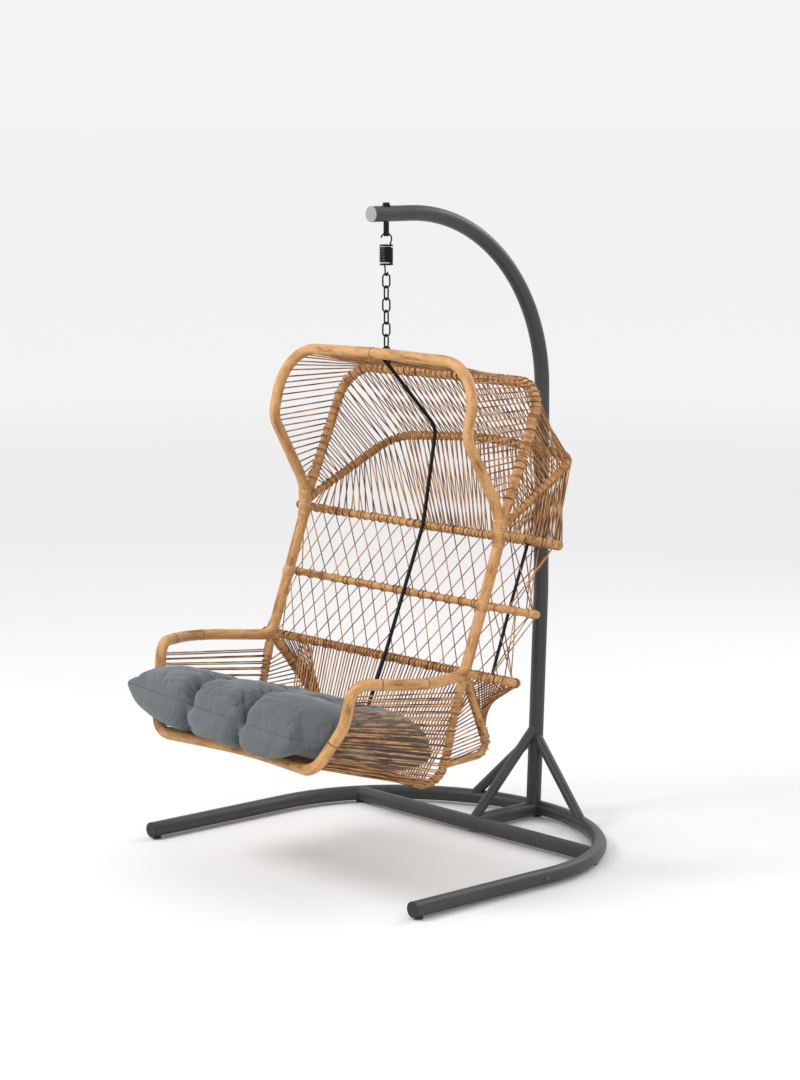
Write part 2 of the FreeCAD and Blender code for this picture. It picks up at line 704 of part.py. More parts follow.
# ---------------------------------------------------------------- woven panels
def panel_solid(rows, half):
    """A thin closed skin through a grid of points, thickened both ways along its normals."""
    count = len(rows[0])
    last = len(rows) - 1

    def shifted(i, j, amount):
        up = rows[min(i + 1, last)][j] - rows[max(i - 1, 0)][j]
        side = rows[i][min(j + 1, count - 1)] - rows[i][max(j - 1, 0)]
        return rows[i][j] + up.cross(side).normalize() * amount

    front = [[shifted(i, j, half) for j in range(count)] for i in range(last + 1)]
    back = [[shifted(i, j, -half) for j in range(count)] for i in range(last + 1)]
    faces = []

    def quad(a, b, c, d):
        faces.append(Part.Face(Part.makePolygon([a, b, c, a])))
        faces.append(Part.Face(Part.makePolygon([a, c, d, a])))

    for i in range(last):
        for j in range(count - 1):
            quad(front[i][j], front[i][j + 1], front[i + 1][j + 1], front[i + 1][j])
            quad(back[i][j], back[i + 1][j], back[i + 1][j + 1], back[i][j + 1])
    for j in range(count - 1):
        quad(front[0][j], back[0][j], back[0][j + 1], front[0][j + 1])
        quad(front[last][j], front[last][j + 1], back[last][j + 1], back[last][j])
    for i in range(last):
        quad(front[i][0], front[i + 1][0], back[i + 1][0], back[i][0])
        quad(front[i][-1], back[i][-1], back[i + 1][-1], front[i + 1][-1])
    solid = Part.Solid(Part.Shell(faces))
    if solid.Volume < 0:
        solid.reverse()
    return solid


def stations(path, shares):
    """Points at shares of a path's length, each with the path's direction there."""
    result = []
    for share in shares:
        left = path.Length * share
        for edge in path.OrderedEdges:
            if left <= edge.Length + 1e-6:
                break
            left -= edge.Length
        left = min(left, edge.Length)
        if edge.Orientation == "Reversed":
            left = edge.Length - left
        parameter = edge.getParameterByLength(left)
        result.append((edge.valueAt(parameter), edge.tangentAt(parameter)))
    return result


def spread(low, high, count):
    """Evenly spaced shares."""
    return [low + (high - low) * k / (count - 1) for k in range(count)]


def span(first, last, first_r, last_r, steps=1):
    """Rows of points between two tubes' centre lines, held clear of both tubes."""
    clear = size("weave_gap") + size("weave_double") / 2.0
    rows = [[] for _ in range(steps + 1)]
    for (a, a_way), (b, b_way) in zip(first, last):
        line = b - a
        length = line.Length
        a_sine = max(0.35, math.sin(line.getAngle(a_way)))
        b_sine = max(0.35, math.sin(line.getAngle(b_way)))
        low = (first_r + clear) / a_sine / length
        high = 1 - (last_r + clear) / b_sine / length
        for k in range(steps + 1):
            rows[k].append(a + line * (low + (high - low) * k / steps))
    return rows


def panel(name, rows, layers="weave_single", cutters=()):
    """One woven panel as a sub-part, notched where a tube or rod passes."""
    item = doc.addObject("Part::Feature", name + "_skin")
    item.Shape = panel_solid(rows, size(layers) / 2.0)
    item.Placement = FreeCAD.Placement()
    keep(cut(name + "_notched", item, cutters), name)


def build_hood_panels():
    """Three panels of the hood, from rim to neck."""
    rim_line = across([(V(444, 21, 1050), 0), HOOD_FRONT, HOOD_TOP], CROWN, 3000)
    hood_line = across(HOOD_RIB, HOOD_RIB_TOP, 2600)
    rear_line = across(REAR_RIB, REAR_RIB_TOP, 1500)
    neck_line = across(NECK_RIB, NECK_BACK, 6000)
    fine = 25
    panel("weave_hood_front", span(stations(rim_line, spread(0.12, 0.88, fine)),
                                   stations(hood_line, spread(0.14, 0.86, fine)), rim_r, hood_rib_r),
          cutters=[rim_outer, eye_solid])
    panel("weave_hood_middle", span(stations(hood_line, spread(0.14, 0.86, fine)),
                                    stations(rear_line, spread(0.09, 0.91, fine)), hood_rib_r, rib_r),
          "weave_double")
    panel("weave_hood_rear", span(stations(rear_line, spread(0.09, 0.91, fine)),
                                  stations(neck_line, spread(0.09, 0.91, fine)), rib_r, rib_r),
          "weave_double", [rear_outer])


build_hood_panels()


def lumbar_shares(line):
    """Shares of a lumbar rib's length at its returns, its corners and along its back."""
    edges = line.OrderedEdges
    total = line.Length
    joint = 45.0 / total
    corner_start = edges[0].Length / total
    corner_end = (edges[0].Length + edges[1].Length) / total
    half = [joint, (joint + corner_start) / 2, corner_start, (corner_start + corner_end) / 2, corner_end]
    back = spread(corner_end, 1 - corner_end, 9)[1:-1]
    return half + back + [1 - share for share in reversed(half)]


def build_back_panels():
    """Two open-weave panels of the back, which wrap round the returns at both sides."""
    lines = [across(half, middle, 6000) for _, half, middle in LUMBAR]
    rows = [stations(line, lumbar_shares(line)) for line in lines]
    panel("weave_back_upper", span(rows[0], rows[1], rib_r, rib_r))
    panel("weave_back_lower", span(rows[1], rows[2], rib_r, rib_r))


build_back_panels()


def points_on(first, last, count, way):
    """Stations along a straight line."""
    return [(between(first, last, share), way) for share in spread(0, 1, count)]


def build_seat_panels():
    """Lower back, seat floor, arm sides and the gussets behind the seat."""
    level = V(1, 0, 0)
    back_top = points_on(V(-385, -13, 616), V(385, -13, 616), 3, level)
    beam = points_on(V(-284, -173, 297.5), V(284, -173, 297.5), 3, level)
    panel("weave_seat_back", span(back_top, beam, rib_r, rib_r), cutters=[spine_solid])
    rail = across([(V(318, -622.5, 411.5), 0)], FRONT_MIDDLE, 900)
    shares = spread(0.0, 1.0, 9)
    beam_fine = points_on(V(-284, -173, 297.5), V(284, -173, 297.5), 9, level)
    panel("weave_seat_floor", span(stations(rail, shares), beam_fine, rim_r, rib_r))
    for side, sign in (("left", -1), ("right", 1)):
        stile = bent_path(side_of([(V(446, -550, 669), 0), STILE_KNEE, FRONT_CORNER, (FRONT_MIDDLE, 0)], sign))
        rib_line = bent_path(side_of(SIDE_RIB + [(SEAT_BEAM, 0)], sign))
        stile_rows = stations(stile, spread(0.06, 0.40, 7))
        rib_rows = stations(rib_line, spread(0.075, 0.37, 7))
        panel("weave_arm_" + side, span(stile_rows, rib_rows, rim_r, rib_r))
        brace_line = bent_path(side_of(BRACE, sign))
        gusset_side = stations(rib_line, spread(0.12, 0.30, 6))
        gusset_brace = stations(brace_line, spread(0.16, 0.60, 6))
        panel("weave_gusset_" + side, span(gusset_side, gusset_brace, rib_r, rib_r))
        seat_line = bent_path(side_of(SEAT_RIB + [(SEAT_BACK, 0)], sign))
        wing_top = stations(seat_line, spread(0.09, 0.46, 9))
        wing_low = stations(brace_line, spread(0.12, 0.545, 9))
        panel("weave_wing_" + side, span(wing_top, wing_low, rib_r, rib_r))


build_seat_panels()


def pad_body(name, outline, length, edge):
    """A padded side outline with every edge rounded; length and edge are expressions."""
    body = doc.addObject("PartDesign::Body", name)
    sketch = body.newObject("Sketcher::SketchObject", name + "_outline")
    plane = [f for f in body.Origin.OriginFeatures if f.Role == "YZ_Plane"][0]
    sketch.AttachmentSupport = [(plane, "")]
    sketch.MapMode = "FlatFace"
    for first, last in zip(outline, outline[1:] + outline[:1]):
        sketch.addGeometry(Part.LineSegment(first, last), False)
    for number in range(4):
        sketch.addConstraint(Sketcher.Constraint("Coincident", number, 2, (number + 1) % 4, 1))
    pad = body.newObject("PartDesign::Pad", name + "_pad")
    pad.Profile = sketch
    pad.Midplane = True
    pad.setExpression("Length", length)
    doc.recompute()
    soft = body.newObject("PartDesign::Fillet", name + "_soft_edges")
    soft.Base = (pad, ["Edge%d" % n for n in range(1, len(pad.Shape.Edges) + 1)])
    soft.setExpression("Radius", edge)
    body.Tip = soft
    return body


def build_cushion():
    """Thick seat pad on the sloping floor: cover and wadding round a light fill."""
    forward = V(-0.961, 0.2763, 0)
    upward = V(0.2763, 0.961, 0)
    rear_low = V(-190, 317, 0)
    skin = size("cushion_cover")

    def outline(inset):
        low = rear_low + (forward + upward) * inset
        front = low + forward * (size("cushion_length") - 2 * inset)
        lift = upward * (size("cushion_depth") - 2 * inset)
        return [low, front, front + lift, low + lift - forward * 26]

    cover = pad_body("cushion_cover", outline(0), "sheet.cushion_width", "sheet.cushion_edge")
    fill = pad_body("cushion_fill", outline(skin), "sheet.cushion_width - 2 * sheet.cushion_cover",
                    "sheet.cushion_edge - sheet.cushion_cover")
    keep(cut("cushion", cover, [fill]), "seat_cushion")


build_cushion()
doc.recompute()

# ---------------------------------------------------------------- checks and export
for item in doc.Objects:
    if "Invalid" in item.State or "Error" in item.State:
        raise RuntimeError("%s failed: %s" % (item.Name, item.State))
for bar, section, length in SWEEPS:
    wanted = math.pi * section.Radius.Value ** 2 * length
    if abs(bar.Shape.Volume - wanted) > 0.01 * wanted:
        raise RuntimeError("%s has volume %.0f, not %.0f" % (bar.Name, bar.Shape.Volume, wanted))
for item in PARTS:
    if item.Shape.isNull() or not item.Shape.isValid() or not item.Shape.Solids:
        raise RuntimeError("%s has no valid shape" % item.Label)
    item.Shape.exportStep("parts/%s.step" % item.Label)
print("parts:", len(PARTS))
for item in PARTS:
    print("%-22s solids %d volume %9.0f" % (item.Label, len(item.Shape.Solids), item.Shape.Volume))
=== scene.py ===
"""Looks of the hanging egg chair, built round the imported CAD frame. Metres, +Z up, the sitter faces -Y."""
import json
import math
import random

import bpy
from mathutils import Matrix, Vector, noise


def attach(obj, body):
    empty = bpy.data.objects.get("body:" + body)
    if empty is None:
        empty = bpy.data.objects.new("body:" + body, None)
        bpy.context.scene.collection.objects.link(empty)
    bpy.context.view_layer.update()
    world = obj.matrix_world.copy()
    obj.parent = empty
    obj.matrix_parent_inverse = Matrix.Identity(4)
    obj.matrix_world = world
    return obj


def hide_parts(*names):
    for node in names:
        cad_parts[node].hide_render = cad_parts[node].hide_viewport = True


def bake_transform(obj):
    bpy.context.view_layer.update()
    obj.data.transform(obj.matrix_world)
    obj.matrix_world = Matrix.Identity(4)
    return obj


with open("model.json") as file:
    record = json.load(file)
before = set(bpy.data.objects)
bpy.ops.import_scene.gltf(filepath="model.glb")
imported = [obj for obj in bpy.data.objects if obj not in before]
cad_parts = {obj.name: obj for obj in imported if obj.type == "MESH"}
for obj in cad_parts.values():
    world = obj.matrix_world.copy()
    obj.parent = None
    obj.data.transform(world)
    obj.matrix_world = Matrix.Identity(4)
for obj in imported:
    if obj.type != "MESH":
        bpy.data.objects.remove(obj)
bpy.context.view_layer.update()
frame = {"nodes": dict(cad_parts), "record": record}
V = Vector
MM = 0.001


# ---------------------------------------------------------------- camera
CAMERA_PLACE = (6.3701, -5.7613, 2.2800)
CAMERA_TURN, CAMERA_DIP = math.radians(47.70), math.radians(8.61)
LENS, SENSOR = 94.3, 36.0


def place_camera():
    """A long lens above the stand's arm, looking down at the chair from its front left."""
    level = math.cos(CAMERA_DIP)
    view = V((-math.sin(CAMERA_TURN) * level, math.cos(CAMERA_TURN) * level, -math.sin(CAMERA_DIP)))
    data = bpy.data.cameras.new("camera")
    data.sensor_fit = "AUTO"
    data.sensor_width = SENSOR
    data.lens = LENS
    camera = bpy.data.objects.new("camera", data)
    camera.location = CAMERA_PLACE
    camera.rotation_euler = view.to_track_quat("-Z", "Y").to_euler()
    bpy.context.collection.objects.link(camera)
    bpy.context.scene.camera = camera


place_camera()


# ---------------------------------------------------------------- materials
MIX_AMOUNT, MIX_A, MIX_B, MIX_OUT = 0, 6, 7, 2  # sockets of a mix node that mixes colours


class Nodes:
    """Small helper that writes a material's node tree."""

    def __init__(self, name):
        self.material = bpy.data.materials.new(name)
        self.material.use_nodes = True
        self.tree = self.material.node_tree
        self.shader = self.tree.nodes["Principled BSDF"]

    def add(self, kind, **settings):
        node = self.tree.nodes.new(kind)
        for key, value in settings.items():
            if key in node.inputs:
                node.inputs[key].default_value = value
            else:
                setattr(node, key, value)
        return node

    def link(self, source, output, target, socket):
        self.tree.links.new(source.outputs[output], target.inputs[socket])

    def set(self, **values):
        for key, value in values.items():
            self.shader.inputs[key.replace("_", " ")].default_value = value

    def math(self, operation, a, b=None):
        """A maths node; a and b are numbers or (node, output) pairs."""
        node = self.tree.nodes.new("ShaderNodeMath")
        node.operation = operation
        for index, value in enumerate((a, b)):
            if value is None:
                continue
            if isinstance(value, tuple):
                self.link(value[0], value[1], node, index)
            else:
                node.inputs[index].default_value = value
        return node

    def ramp(self, source, output, stops):
        node = self.tree.nodes.new("ShaderNodeValToRGB")
        ramp = node.color_ramp
        while len(ramp.elements) < len(stops):
            ramp.elements.new(0.5)
        for element, (place, colour) in zip(ramp.elements, stops):
            element.position = place
            element.color = (*colour, 1.0)
        self.link(source, output, node, "Fac")
        return node

    def multiply(self, a, b, amount):
        """One colour multiplied by another; a and b are (node, output) pairs."""
        node = self.tree.nodes.new("ShaderNodeMix")
        node.data_type = "RGBA"
        node.blend_type = "MULTIPLY"
        self.link(*a, node, MIX_A)
        self.link(*b, node, MIX_B)
        node.inputs[MIX_AMOUNT].default_value = amount
        return node

    def bump(self, source, output, strength, distance):
        node = self.add("ShaderNodeBump", Strength=strength, Distance=distance)
        self.link(source, output, node, "Height")
        self.link(node, "Normal", self.shader, "Normal")
        return node


TAN_LIGHT = (0.66, 0.375, 0.160)
TAN = (0.50, 0.262, 0.100)
BROWN = (0.250, 0.104, 0.038)
DARK = (0.075, 0.028, 0.012)
TUBE_STOPS = [(0.30, BROWN), (0.42, TAN), (0.55, TAN_LIGHT), (0.70, TAN), (0.82, BROWN)]
STRAND_STOPS = [(0.36, DARK), (0.45, BROWN), (0.53, TAN), (0.61, TAN_LIGHT), (0.70, BROWN)]


def wicker_material(name, along, bands, stops, groove_shade=0.5):
    """Resin wicker: tan to brown, mottled along each strand; the last argument sets how dark the painted shade is
    on the line between two wraps.
    """
    n = Nodes(name)
    uv = n.add("ShaderNodeUVMap", uv_map="weave")
    split = n.add("ShaderNodeSeparateXYZ")
    n.link(uv, "UV", split, "Vector")
    stretched = n.add("ShaderNodeCombineXYZ")
    long_way = n.math("MULTIPLY", (split, "X"), along)
    cross_way = n.math("MULTIPLY", (split, "Y"), 0.6 if bands else 37.0)
    n.link(long_way, 0, stretched, "X")
    n.link(cross_way, 0, stretched, "Y")
    mottle = n.add("ShaderNodeTexNoise", Scale=1.0, Detail=3.0, Roughness=0.6)
    n.link(stretched, 0, mottle, "Vector")
    colour = n.ramp(mottle, "Fac", stops)
    fine_place = n.add("ShaderNodeCombineXYZ")
    fine_long = n.math("MULTIPLY", (split, "X"), along * 6.0)
    fine_across = n.math("MULTIPLY", (split, "Y"), 5.0 if bands else 91.0)
    n.link(fine_long, 0, fine_place, "X")
    n.link(fine_across, 0, fine_place, "Y")
    streak = n.add("ShaderNodeTexNoise", Scale=1.0, Detail=4.0, Roughness=0.7)
    n.link(fine_place, 0, streak, "Vector")
    streak_shade = n.ramp(streak, "Fac", [(0.3, (0.62, 0.56, 0.5)), (0.7, (1.12, 1.1, 1.06))])
    shaded = n.multiply((colour, "Color"), (streak_shade, "Color"), 0.85)
    result = (shaded, MIX_OUT)
    # Painted shade: the colour is darkened on the line between each wrap and the next, where the groove would be
    # shaded.
    if bands:
        phase = n.math("FRACT", (split, "X"))
        centred = n.math("SUBTRACT", (phase, 0), 0.5)
        distance = n.math("ABSOLUTE", (centred, 0))
        edge = n.ramp(distance, 0, [(0.38, (1.0, 1.0, 1.0)), (0.5, (groove_shade, groove_shade * 0.84, groove_shade * 0.72))])
        banded = n.multiply(result, (edge, "Color"), 0.75)
        result = (banded, MIX_OUT)
    n.link(*result, n.shader, "Base Color")
    n.bump(streak, "Fac", 0.25, 0.0004)
    n.set(Roughness=0.5, Specular_IOR_Level=0.35)
    return n.material


def coat_material(name, colour, roughness, grain=900.0, bump=0.12):
    """Powder-coated or moulded surface with a fine grain and slight shade changes."""
    n = Nodes(name)
    place = n.add("ShaderNodeTexCoord")
    cloudy = n.add("ShaderNodeTexNoise", Scale=6.0, Detail=4.0, Roughness=0.6)
    n.link(place, "Object", cloudy, "Vector")
    low = tuple(c * 0.82 for c in colour)
    high = tuple(min(1.0, c * 1.22) for c in colour)
    shade = n.ramp(cloudy, "Fac", [(0.3, low), (0.7, high)])
    n.link(shade, "Color", n.shader, "Base Color")
    fine = n.add("ShaderNodeTexNoise", Scale=grain, Detail=2.0, Roughness=0.5)
    n.link(place, "Object", fine, "Vector")
    n.bump(fine, "Fac", bump, 0.0003)
    n.set(Roughness=roughness, Specular_IOR_Level=0.5)
    return n.material


def metal_material(name, colour, roughness):
    """Bare or plated steel with fine scratches."""
    n = Nodes(name)
    place = n.add("ShaderNodeTexCoord")
    scratches = n.add("ShaderNodeTexNoise", Scale=240.0, Detail=5.0, Roughness=0.7)
    n.link(place, "Object", scratches, "Vector")
    shade = n.ramp(scratches, "Fac", [(0.35, tuple(c * 0.8 for c in colour)), (0.7, colour)])
    n.link(shade, "Color", n.shader, "Base Color")
    n.bump(scratches, "Fac", 0.08, 0.0002)
    n.set(Roughness=roughness, Metallic=0.9)
    return n.material


def cloth_material(name, colour):
    """Grey woven outdoor fabric: fine crossing threads and a soft sheen."""
    n = Nodes(name)
    place = n.add("ShaderNodeTexCoord")
    cloudy = n.add("ShaderNodeTexNoise", Scale=9.0, Detail=5.0, Roughness=0.6)
    n.link(place, "Object", cloudy, "Vector")
    heather = n.add("ShaderNodeTexNoise", Scale=700.0, Detail=3.0, Roughness=0.7)
    n.link(place, "Object", heather, "Vector")
    low, high = tuple(c * 0.88 for c in colour), tuple(c * 1.1 for c in colour)
    base = n.ramp(cloudy, "Fac", [(0.3, low), (0.7, high)])
    flecks = n.ramp(heather, "Fac", [(0.35, (0.8, 0.8, 0.8)), (0.65, (1.15, 1.15, 1.15))])
    both = n.multiply((base, "Color"), (flecks, "Color"), 0.6)
    n.link(both, MIX_OUT, n.shader, "Base Color")
    warp = n.add("ShaderNodeTexWave", Scale=420.0, Distortion=0.6, bands_direction="X")
    weft = n.add("ShaderNodeTexWave", Scale=420.0, Distortion=0.6, bands_direction="Y")
    n.link(place, "Object", warp, "Vector")
    n.link(place, "Object", weft, "Vector")
    threads = n.math("MAXIMUM", (warp, "Fac"), (weft, "Fac"))
    n.bump(threads, 0, 0.18, 0.0004)
    n.set(Roughness=0.85, Specular_IOR_Level=0.25, Sheen_Weight=0.25, Sheen_Roughness=0.5)
    return n.material


# The last number is the painted shade on the line between two wraps: deeper on the ribs, paler on the flat-wrapped
# rim, rails and arm loops.
WRAP = wicker_material("wrapped_wicker", 0.17, True, TUBE_STOPS, 0.42)
SMOOTH_WRAP = wicker_material("smooth_wrapped_wicker", 0.075, True, TUBE_STOPS, 0.74)
STRAND = wicker_material("wicker_strand", 9.0, False, STRAND_STOPS)
PAINT = coat_material("charcoal_coat", (0.031, 0.031, 0.030), 0.42)
BLACK = coat_material("black_coat", (0.005, 0.005, 0.005), 0.55)
BLACK.node_tree.nodes["Principled BSDF"].inputs["Specular IOR Level"].default_value = 0.2
RUBBER = coat_material("dark_rubber", (0.02, 0.02, 0.02), 0.7, 300.0, 0.3)
CAP_GREY = coat_material("cap_grey", (0.27, 0.27, 0.265), 0.5)
BOLT = metal_material("bolt_steel", (0.11, 0.11, 0.11), 0.35)
STEEL = metal_material("spigot_steel", (0.10, 0.10, 0.10), 0.45)
CLOTH = cloth_material("cushion_cloth", (0.104, 0.119, 0.126))
THREAD = coat_material("seam_thread", (0.075, 0.085, 0.09), 0.8, 500.0, 0.3)
SEAM = coat_material("joint_gap", (0.05, 0.022, 0.012), 0.7)

SLOT_LOOKS = {
    "stand_paint": PAINT, "spigot_steel": STEEL, "rubber": RUBBER, "arm_cap": CAP_GREY, "bolts": BOLT,
    "hanging_steel": BLACK, "rod_paint": BLACK, "wrapped_tube": SMOOTH_WRAP, "weave": STRAND, "cushion": CLOTH,
}


def dress_cad():
    """Every CAD node takes its slot's finished material."""
    slot_of = {entry["node"]: entry["material_slot"] for entry in frame["record"]["subparts"]}
    for node, obj in frame["nodes"].items():
        look = SLOT_LOOKS[slot_of[node]]
        obj.data.materials.clear()
        obj.data.materials.append(look)


dress_cad()


# ---------------------------------------------------------------- paths
class Path:
    """Straight runs joined by tangent arcs, as a person bends a tube."""

    def __init__(self, corners):
        self.parts = []
        start = corners[0][0]
        for before, (corner, radius), after in zip(corners, corners[1:], corners[2:]):
            towards = (before[0] - corner).normalized()
            away = (after[0] - corner).normalized()
            half = towards.angle(away) / 2.0
            setback = radius / math.tan(half)
            first = corner + towards * setback
            centre = corner + (towards + away).normalized() * (radius / math.sin(half))
            self.add_line(start, first)
            out = (first - centre).normalized()
            self.parts.append(("arc", centre, out, -towards, radius, math.pi - 2 * half))
            start = corner + away * setback
        self.add_line(start, corners[-1][0])
        self.lengths = [p[4] * p[5] if p[0] == "arc" else (p[2] - p[1]).length for p in self.parts]
        self.length = sum(self.lengths)

    def add_line(self, a, b):
        if (b - a).length > 1e-6:
            self.parts.append(("line", a, b))

    def at(self, distance):
        """The point and direction at a distance along the path."""
        distance = min(max(distance, 0.0), self.length)
        for part, length in zip(self.parts, self.lengths):
            if distance <= length or part is self.parts[-1]:
                break
            distance -= length
        if part[0] == "line":
            way = (part[2] - part[1]).normalized()
            return part[1] + way * distance, way
        _, centre, out, way, radius, _ = part
        turn = distance / radius
        point = centre + (out * math.cos(turn) + way * math.sin(turn)) * radius
        return point, way * math.cos(turn) - out * math.sin(turn)

    def share(self, share):
        return self.at(share * self.length)


def mirrored(point):
    """The same point on the chair's other side."""
    return V((-point.x, point.y, point.z))


def mm(x, y, z):
    """A point given in millimetres."""
    return V((x, y, z)) * MM


def corners_mm(*rows):
    """Corner rows of (x, y, z, bend radius) in millimetres."""
    return [(mm(*row[:3]), row[3] * MM) for row in rows]


def side_of(corners, sign):
    """Right-hand corners as they are (sign 1), or mirrored to the left (sign -1)."""
    return [(point if sign > 0 else mirrored(point), radius) for point, radius in corners]


def across(half, middle, bow):
    """From the left end, through a middle point, to the right end."""
    return Path(side_of(half, -1) + [(mm(*middle), bow * MM)] + side_of(half, 1)[::-1])


RIM_R, RIB_R, HOOD_R = 17.0 * MM, 12.0 * MM, 15.0 * MM
ARM_BULGE = (542, -358, 656)
ARM_NOSE = (446, -550, 669)
STILE_KNEE = (430, -572, 545)
FRONT_CORNER = (366, -630, 412)


def blend_rows(a, b, share):
    """The place that is a share of the way from a to b."""
    return tuple(p + (q - p) * share for p, q in zip(a, b))


ARM_SEAM = blend_rows(ARM_BULGE, ARM_NOSE, 0.62)
STILE_SEAM = blend_rows(STILE_KNEE, FRONT_CORNER, 0.36)
RIM_HALF = corners_mm((*ARM_SEAM, 0), (*ARM_BULGE, 230), (443, -113, 638, 38), (444, 48, 1073, 185),
                      (440, -102, 1335, 80), (437, -52, 1549, 150))
CROWN = (0, -48, 1556)
STILE = corners_mm((*ARM_SEAM, 0), (*ARM_NOSE, 52), (*STILE_KNEE, 120), (*STILE_SEAM, 0))
FRONT_HALF = corners_mm((*STILE_SEAM, 0), (*FRONT_CORNER, 75))
HOOD_RIB = corners_mm((443.5, 27, 1042, 0), (440, 214, 1476, 110))
REAR_RIB = corners_mm((443, 28, 1055, 0), (410, 386, 1240, 90))
NECK_RIB = corners_mm((444, 29, 1047, 0), (612, 148, 1012, 15))
WAIST_RIB = corners_mm((443, -39, 838, 0), (592, 74, 811, 15))
SEAT_RIB = corners_mm((444, -113, 642, 0), (602, -13, 617, 15))
SIDE_RIB = corners_mm((444, -115, 640, 0), (436, -158, 480, 140), (404, -173, 298, 112))
BRACE = corners_mm((445, -110, 640, 0), (374, 60, 368, 34), (407, -170, 368, 0))
SEAT_BEAM = (0, -173, 297)
RAIL_MIDDLE = (0, -572, 407)
SEAT_RIB_MIDDLE = (0, -11.5, 615)

rim_path = across(RIM_HALF, CROWN, 3000)
front_path = across(FRONT_HALF, RAIL_MIDDLE, 900)
hood_path = across(HOOD_RIB, (0, 236, 1476), 2600)
rear_path = across(REAR_RIB, (0, 402, 1268), 1500)
neck_path = across(NECK_RIB, (0, 149.5, 1010), 6000)
waist_path = across(WAIST_RIB, (0, 76, 809), 6000)
seat_path = across(SEAT_RIB, SEAT_RIB_MIDDLE, 6000)
side_path = across(SIDE_RIB, SEAT_BEAM, 6000)


# ---------------------------------------------------------------- swept meshes
def sweep(points, radius_at, sides, uv_at, vertices, faces, uvs, closed_ends=True):
    """Add a round tube through (point, direction) rows; radius_at(i, turn) and uv_at(i, turn) shape and map it."""
    start = len(vertices)
    normal = points[0][1].orthogonal().normalized()
    for i, (point, way) in enumerate(points):
        normal = (normal - way * normal.dot(way)).normalized()
        side = way.cross(normal)
        for k in range(sides):
            turn = 2 * math.pi * k / sides
            reach = radius_at(i, turn)
            vertices.append(point + (normal * math.cos(turn) + side * math.sin(turn)) * reach)
    for i in range(len(points) - 1):
        for k in range(sides):
            a = start + i * sides + k
            b = start + i * sides + (k + 1) % sides
            faces.append((a, b, b + sides, a + sides))
            t0 = 2 * math.pi * k / sides
            t1 = 2 * math.pi * (k + 1) / sides
            uvs.extend((uv_at(i, t0), uv_at(i, t1), uv_at(i + 1, t1), uv_at(i + 1, t0)))
    if closed_ends:
        last = start + (len(points) - 1) * sides
        faces.append(tuple(range(start + sides - 1, start - 1, -1)))
        uvs.extend([uv_at(0, 0.0)] * sides)
        faces.append(tuple(range(last, last + sides)))
        uvs.extend([uv_at(len(points) - 1, 0.0)] * sides)


def make_piece(name, vertices, faces, uvs, material, body, slot, nodes=()):
    """A finished mesh piece that rides on a body and may stand for CAD nodes."""
    mesh = bpy.data.meshes.new(name)
    mesh.from_pydata([tuple(v) for v in vertices], [], faces)
    layer = mesh.uv_layers.new(name="weave")
    flat = [value for pair in uvs for value in pair]
    layer.data.foreach_set("uv", flat)
    mesh.polygons.foreach_set("use_smooth", [True] * len(mesh.polygons))
    mesh.materials.append(material)
    mesh.update()
    piece = bpy.data.objects.new(name, mesh)
    bpy.context.collection.objects.link(piece)
    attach(piece, body)
    if nodes:
        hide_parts(*nodes)
    return piece


WRAP_PITCH = 9.0 * MM
RIDGE = 0.55 * MM


def wrapped_rows(path, start, end, step=3.0 * MM):
    """Stations along a stretch of tube, close enough to show each wrap."""
    count = max(4, int((end - start) / step))
    return [path.at(start + (end - start) * i / count) for i in range(count + 1)], (end - start) / count


def add_wrap(path, radius, data, start=0.0, end=None, sides=16, lift=0.0, ease=0.0, ridge_height=RIDGE):
    """Wicker wound round a tube: a shallow spiral ridge, one wrap beside the next."""
    end = path.length if end is None else end
    rows, step = wrapped_rows(path, start, end)
    total = end - start
    offset = random.uniform(0, 40)

    def radius_at(i, turn):
        phase = (i * step) / WRAP_PITCH + turn / (2 * math.pi)
        ridge = abs(math.cos(math.pi * phase)) * 2.0 - 1.0
        near_end = min(i * step, total - i * step)
        taper = 1.0 if ease == 0.0 else min(1.0, near_end / ease)
        return radius + lift * taper - ridge_height * (ridge > 0.35) * (ridge - 0.35) - ridge_height * 0.4

    def uv_at(i, turn):
        return offset + (i * step) / WRAP_PITCH + turn / (2 * math.pi) + 0.5, turn

    sweep(rows, radius_at, sides, uv_at, *data)


def wrapped_tube(name, path, radius, node, smooth=False):
    """One frame tube under its wicker; the outer rim's wicker lies flat, a rib's shows every wrap."""
    data = ([], [], [])
    add_wrap(path, radius, data, ridge_height=RIDGE * (0.35 if smooth else 1.0))
    return make_piece(name, *data, SMOOTH_WRAP if smooth else WRAP, "chair", "wrapped_tube", [node])


random.seed(11)
wrapped_tube("rim_wrap", rim_path, RIM_R, "hood_and_side_rim", True)
wrapped_tube("front_rail_wrap", front_path, RIM_R, "front_rail", True)
for side, sign in (("left", -1), ("right", 1)):
    wrapped_tube("arm_loop_wrap_" + side, Path(side_of(STILE, sign)), RIM_R, "arm_loop_" + side, True)
    wrapped_tube("brace_wrap_" + side, Path(side_of(BRACE, sign)), RIB_R, "seat_brace_" + side)
wrapped_tube("hood_middle_wrap", hood_path, HOOD_R, "hood_middle_rib")
wrapped_tube("hood_rear_wrap", rear_path, RIB_R, "hood_rear_rib")
wrapped_tube("neck_wrap", neck_path, RIB_R, "neck_rib")
wrapped_tube("waist_wrap", waist_path, RIB_R, "waist_rib")
wrapped_tube("seat_back_wrap", seat_path, RIB_R, "seat_back_rib")
wrapped_tube("seat_side_wrap", side_path, RIB_R, "seat_side_rib")


# ---------------------------------------------------------------- strands
def around(station, radius, towards, side, first, last, count):
    """Points on a strand's way round a tube, from one angle to another; 0 is the side away from the panel."""
    centre, way = station
    away = -(towards - way * towards.dot(way)).normalized()
    flank = way.cross(away) * side
    points = []
    for k in range(count):
        angle = math.radians(first + (last - first) * k / (count - 1))
        points.append(centre + (away * math.cos(angle) + flank * math.sin(angle)) * radius)
    return points


